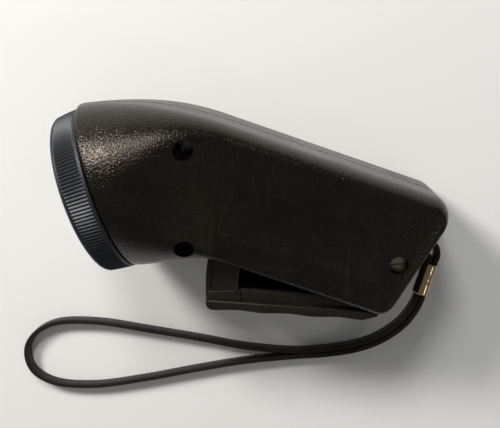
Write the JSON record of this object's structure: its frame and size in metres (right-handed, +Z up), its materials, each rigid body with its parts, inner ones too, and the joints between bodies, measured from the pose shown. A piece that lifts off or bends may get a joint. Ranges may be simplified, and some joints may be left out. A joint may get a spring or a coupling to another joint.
{
  "type": "squeeze dynamo flashlight",
  "caption": "Hand-squeezed dynamo torch with a bent lamp head, ribbed screw-on bezel, spring-returned lever that drives a geared magneto, and a flat wrist strap crimped to the tail.",
  "frame": {"origin": "on the table, below the centre of the torch's footprint without its strap, as it lies on its side", "axes": "+X from the lamp towards the tail, +Y towards the torch's top edge, +Z up from the table"},
  "size_m": [0.1514, 0.1117, 0.0557],
  "materials": {
    "case_plastic": "glossy black moulding with a fine pebble grain",
    "bezel_plastic": "satin black, finely ribbed",
    "lever_plastic": "satin black with faint scuffs",
    "lens_plastic": "clear polished plastic",
    "reflector_metal": "bright pressed metal",
    "bulb_glass": "clear blown glass",
    "brass": "plain",
    "holder_plastic": "plain moulded",
    "steel": "dull plated",
    "spring_steel": "drawn wire",
    "gear_plastic": "natural nylon",
    "plate_plastic": "natural plastic",
    "ferrite": "dark ground ferrite",
    "flywheel_steel": "turned",
    "laminations": "stacked electrical sheet",
    "bobbin_plastic": "natural plastic",
    "copper_wire": "enamelled copper wire",
    "wire_red": "insulated wire",
    "wire_black": "insulated wire",
    "crimp_metal": "polished plate",
    "strap_vinyl": "black vinyl with a greyish edge"
  },
  "bodies": {
    "case": {"upper_shell": "case_plastic", "lower_shell": "case_plastic", "bulb_glass": "bulb_glass", "bulb_cap": "brass", "bulb_holder": "holder_plastic", "centre_contact": "brass", "lever_pivot_pin": "steel", "return_spring": "spring_steel", "first_gear_shaft": "steel", "second_gear_shaft": "steel", "stator_core": "laminations", "rotor_bush_lower": "brass", "rotor_bush_upper": "brass", "coil_bobbin": "bobbin_plastic", "coil_winding": "copper_wire", "bearing_plate": "plate_plastic", "front_top_screw": "steel", "front_bottom_screw": "steel", "rear_screw": "steel", "plate_screw_1": "steel", "plate_screw_2": "steel", "stator_screw_1": "steel", "stator_screw_2": "steel", "lead_wire_a": "wire_red", "lead_wire_b": "wire_black", "strap_pin": "steel", "strap_crimp": "crimp_metal", "strap_lug_loop": "strap_vinyl", "wrist_strap": "strap_vinyl"},
    "lever": {"squeeze_lever": "lever_plastic"},
    "first_gear": {"first_gear": "gear_plastic"},
    "second_gear": {"second_gear": "gear_plastic"},
    "rotor": {"rotor_pinion": "gear_plastic", "rotor_shaft": "steel", "rotor_magnet": "ferrite", "flywheel": "flywheel_steel"},
    "lens_carrier": {"lens": "lens_plastic", "reflector": "reflector_metal"},
    "bezel": {"bezel_ring": "bezel_plastic"}
  },
  "joints": [
    {"name": "lever_squeeze", "type": "hinge", "parent": "case", "child": "lever", "pos_m": [0.04105, -0.02324, 0.02018], "axis": [-0.0817, 0.0394, -0.9959], "range_deg": [0, 15], "stiffness_Nm_per_rad": 0.5, "springref_deg": -22.92, "deforming": ["return_spring"]},
    {"name": "first_gear_turn", "type": "hinge", "parent": "case", "child": "first_gear", "pos_m": [0.00731, -0.00081, 0.02383], "axis": [-0.0817, 0.0394, -0.9959], "range_deg": [0, 145.5]},
    {"name": "second_gear_turn", "type": "hinge", "parent": "case", "child": "second_gear", "pos_m": [0.02165, 0.00185, 0.02276], "axis": [-0.0817, 0.0394, -0.9959], "range_deg": [-421.95, 0]},
    {"name": "rotor_turn", "type": "hinge", "parent": "case", "child": "rotor", "pos_m": [0.03142, -0.00781, 0.02158], "axis": [-0.0817, 0.0394, -0.9959], "range_deg": [0, 1519.02]},
    {"name": "bezel_travel", "type": "slide", "parent": "case", "child": "lens_carrier", "axis": [-0.9429, -0.3268, 0.0645], "range_m": [0, 0.0045]},
    {"name": "bezel_turn", "type": "hinge", "parent": "lens_carrier", "child": "bezel", "pos_m": [-0.04998, 0.00465, 0.02875], "axis": [-0.9429, -0.3268, 0.0645], "range_deg": [0, 540]}
  ],
  "couplings": [
    {"joint": "first_gear_turn", "follows": "lever_squeeze", "ratio": 9.7},
    {"joint": "second_gear_turn", "follows": "lever_squeeze", "ratio": -28.13},
    {"joint": "rotor_turn", "follows": "lever_squeeze", "ratio": 101.27},
    {"joint": "bezel_travel", "follows": "bezel_turn", "m_per_rad": 0.00047746}
  ]
}
